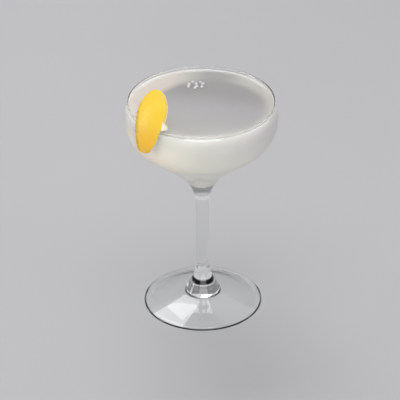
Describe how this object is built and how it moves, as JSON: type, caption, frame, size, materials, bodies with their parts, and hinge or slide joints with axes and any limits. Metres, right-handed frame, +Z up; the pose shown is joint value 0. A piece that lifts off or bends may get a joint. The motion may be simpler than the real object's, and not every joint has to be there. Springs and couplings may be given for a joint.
{
  "type": "cocktail in a stemmed coupe glass",
  "caption": "Stemmed coupe glass filled almost to its lip with a pale cloudy cocktail, with an oval lemon peel hung on the rim.",
  "frame": {"origin": "centre of the plane that the foot rests on", "axes": "+Z up through the stem, -Y to the front, +X to the right"},
  "size_m": [0.098, 0.098, 0.1694],
  "materials": {
    "clear_glass": "clear, polished",
    "cloudy_drink": "cloudy liquid, wet",
    "lemon_peel": "waxy, pored"
  },
  "bodies": {
    "root": {"glass": "clear_glass", "drink": "cloudy_drink", "lemon_peel": "lemon_peel"}
  },
  "joints": []
}
